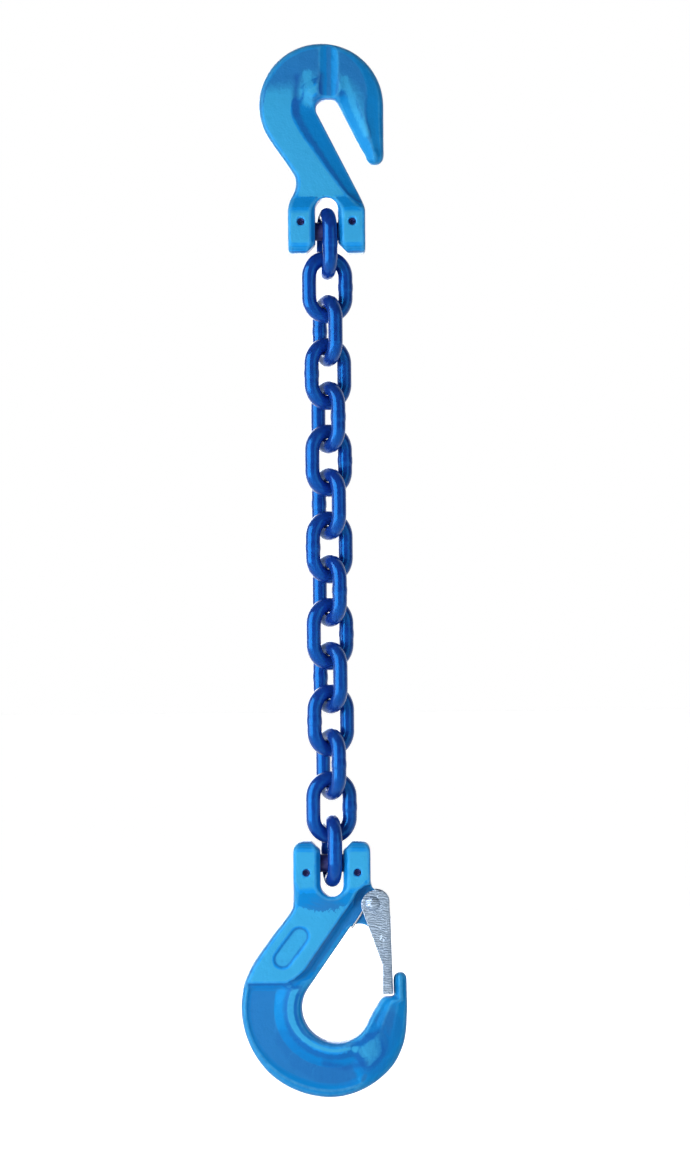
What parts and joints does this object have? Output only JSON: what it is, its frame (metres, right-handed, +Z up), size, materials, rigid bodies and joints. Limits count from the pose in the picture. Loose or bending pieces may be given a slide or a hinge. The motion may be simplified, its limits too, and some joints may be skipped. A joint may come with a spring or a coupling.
{
  "type": "single-leg chain sling",
  "caption": "Short-link lifting chain between a slotted clevis grab hook and a clevis sling hook with a spring latch over its throat.",
  "frame": {"origin": "seat in the slot of the grab hook, where the load enters the sling", "axes": "+Z up along the hanging sling, from the sling hook to the grab hook; +Y the normal of both hooks' planes; +X towards the mouths of both hooks"},
  "size_m": [0.1137, 0.0362, 0.7215],
  "materials": {
    "hook_paint": "gloss powder coat",
    "chain_paint": "gloss paint",
    "zinc": "zinc plated",
    "steel": "satin"
  },
  "bodies": {
    "grab_hook": {"grab_hook": "hook_paint", "grab_load_pin": "steel", "grab_roll_pins": "steel"},
    "link_01": {"link_01": "chain_paint"},
    "link_02": {"link_02": "chain_paint"},
    "link_03": {"link_03": "chain_paint"},
    "link_04": {"link_04": "chain_paint"},
    "link_05": {"link_05": "chain_paint"},
    "link_06": {"link_06": "chain_paint"},
    "link_07": {"link_07": "chain_paint"},
    "link_08": {"link_08": "chain_paint"},
    "link_09": {"link_09": "chain_paint"},
    "link_10": {"link_10": "chain_paint"},
    "link_11": {"link_11": "chain_paint"},
    "link_12": {"link_12": "chain_paint"},
    "link_13": {"link_13": "chain_paint"},
    "link_14": {"link_14": "chain_paint"},
    "link_15": {"link_15": "chain_paint"},
    "sling_hook": {"sling_hook": "hook_paint", "sling_load_pin": "steel", "sling_roll_pins": "steel", "latch_rivet": "zinc", "latch_spring": "steel"},
    "latch": {"latch": "zinc"}
  },
  "joints": [
    {"name": "link_01_swing", "type": "hinge", "parent": "grab_hook", "child": "link_01", "pos_m": [0, 0, -0.09], "axis": [1, 0, 0], "range_deg": [-75, 75]},
    {"name": "link_02_swing", "type": "hinge", "parent": "link_01", "child": "link_02", "pos_m": [0, 0, -0.11845], "axis": [0.1736, -0.9848, 0], "range_deg": [-60, 60]},
    {"name": "link_03_swing", "type": "hinge", "parent": "link_02", "child": "link_03", "pos_m": [0, 0, -0.14815], "axis": [-0.9563, -0.2924, 0], "range_deg": [-75, 75]},
    {"name": "link_04_swing", "type": "hinge", "parent": "link_03", "child": "link_04", "pos_m": [0, 0, -0.17785], "axis": [-0.4173, 0.9088, 0], "range_deg": [-75, 75]},
    {"name": "link_05_swing", "type": "hinge", "parent": "link_04", "child": "link_05", "pos_m": [0, 0, -0.20755], "axis": [0.8572, 0.515, 0], "range_deg": [-75, 75]},
    {"name": "link_06_swing", "type": "hinge", "parent": "link_05", "child": "link_06", "pos_m": [0, 0, -0.23725], "axis": [0.5299, -0.848, 0], "range_deg": [-75, 75]},
    {"name": "link_07_swing", "type": "hinge", "parent": "link_06", "child": "link_07", "pos_m": [0, 0, -0.26695], "axis": [-0.8572, -0.515, 0], "range_deg": [-75, 75]},
    {"name": "link_08_swing", "type": "hinge", "parent": "link_07", "child": "link_08", "pos_m": [0, 0, -0.29665], "axis": [-0.5299, 0.848, 0], "range_deg": [-75, 75]},
    {"name": "link_09_swing", "type": "hinge", "parent": "link_08", "child": "link_09", "pos_m": [0, 0, -0.32635], "axis": [0.8572, 0.515, 0], "range_deg": [-75, 75]},
    {"name": "link_10_swing", "type": "hinge", "parent": "link_09", "child": "link_10", "pos_m": [0, 0, -0.35605], "axis": [0.5299, -0.848, 0], "range_deg": [-75, 75]},
    {"name": "link_11_swing", "type": "hinge", "parent": "link_10", "child": "link_11", "pos_m": [0, 0, -0.38575], "axis": [-0.8572, -0.515, 0], "range_deg": [-75, 75]},
    {"name": "link_12_swing", "type": "hinge", "parent": "link_11", "child": "link_12", "pos_m": [0, 0, -0.41545], "axis": [-0.5299, 0.848, 0], "range_deg": [-75, 75]},
    {"name": "link_13_swing", "type": "hinge", "parent": "link_12", "child": "link_13", "pos_m": [0, 0, -0.44515], "axis": [0.8572, 0.515, 0], "range_deg": [-75, 75]},
    {"name": "link_14_swing", "type": "hinge", "parent": "link_13", "child": "link_14", "pos_m": [0, 0, -0.47485], "axis": [0.4173, -0.9088, 0], "range_deg": [-75, 75]},
    {"name": "link_15_swing", "type": "hinge", "parent": "link_14", "child": "link_15", "pos_m": [0, 0, -0.50455], "axis": [-0.9563, -0.2924, 0], "range_deg": [-60, 60]},
    {"name": "sling_hook_swing", "type": "hinge", "parent": "link_15", "child": "sling_hook", "pos_m": [0, 0, -0.5227], "axis": [1, 0, 0], "range_deg": [-75, 75]},
    {"name": "latch_turn", "type": "hinge", "parent": "sling_hook", "child": "latch", "pos_m": [0.0276, 0, -0.5501], "axis": [0, 1, 0], "range_deg": [0, 42], "stiffness_Nm_per_rad": 0.15, "springref_deg": -34.38, "deforming": ["latch_spring"]}
  ]
}
